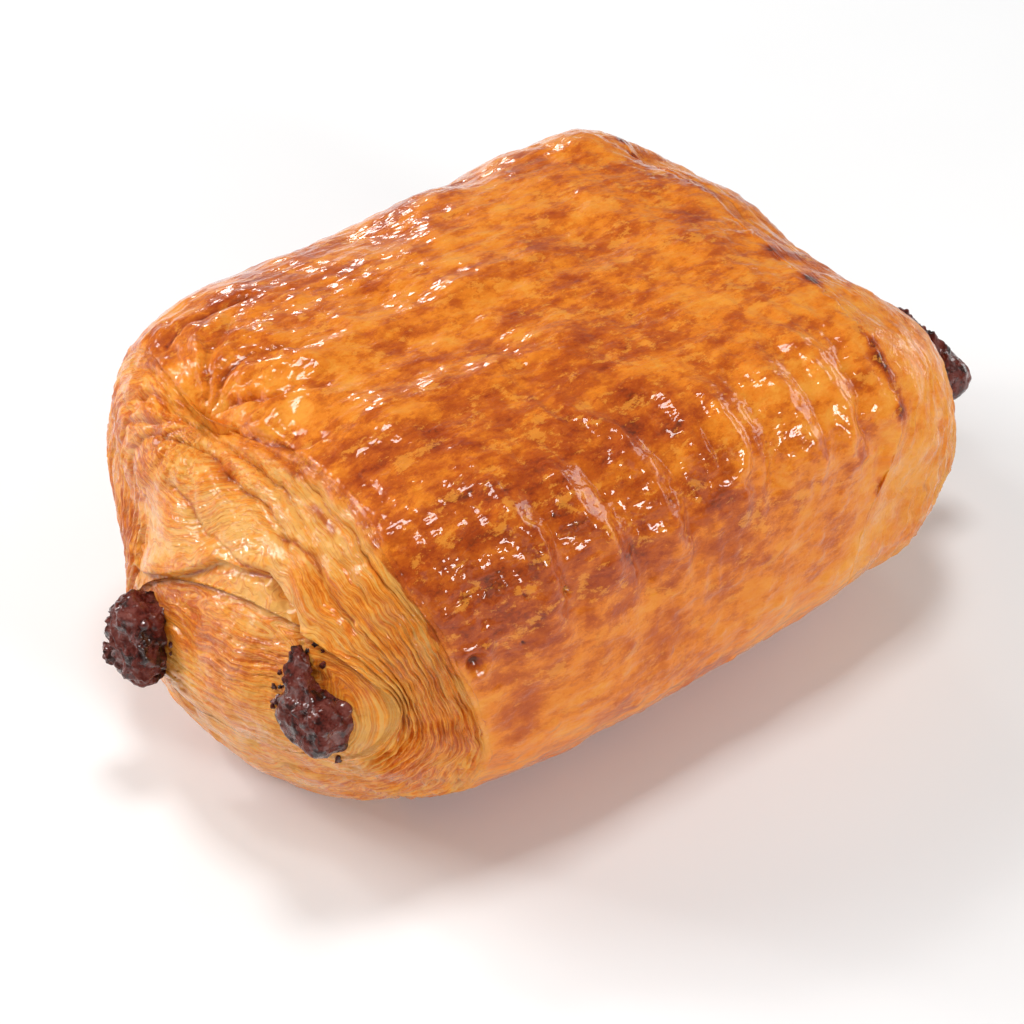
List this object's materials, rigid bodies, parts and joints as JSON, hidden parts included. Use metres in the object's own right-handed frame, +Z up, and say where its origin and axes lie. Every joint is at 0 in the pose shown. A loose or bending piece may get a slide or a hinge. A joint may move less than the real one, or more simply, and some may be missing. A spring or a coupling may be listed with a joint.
{
  "type": "pain au chocolat",
  "caption": "Baked pain au chocolat: a glazed, laminated pastry roll with chocolate bars running through it and showing at its ends.",
  "frame": {"origin": "middle of the underside, at the bottom centre of the box round the whole pastry", "axes": "+X along the roll from end to end, -Y towards its front, where the chocolate bars lie nearer the side, +Z up"},
  "size_m": [0.112, 0.0732, 0.0515],
  "materials": {
    "crust": "egg-washed baked dough, amber to red-brown and glossy on top, pale gold and satin at the laminated ends",
    "chocolate": "dark chocolate that has melted and set again, rough with glossy spots"
  },
  "bodies": {
    "root": {"pastry": "crust", "chocolate_front": "chocolate", "chocolate_back": "chocolate"}
  },
  "joints": []
}
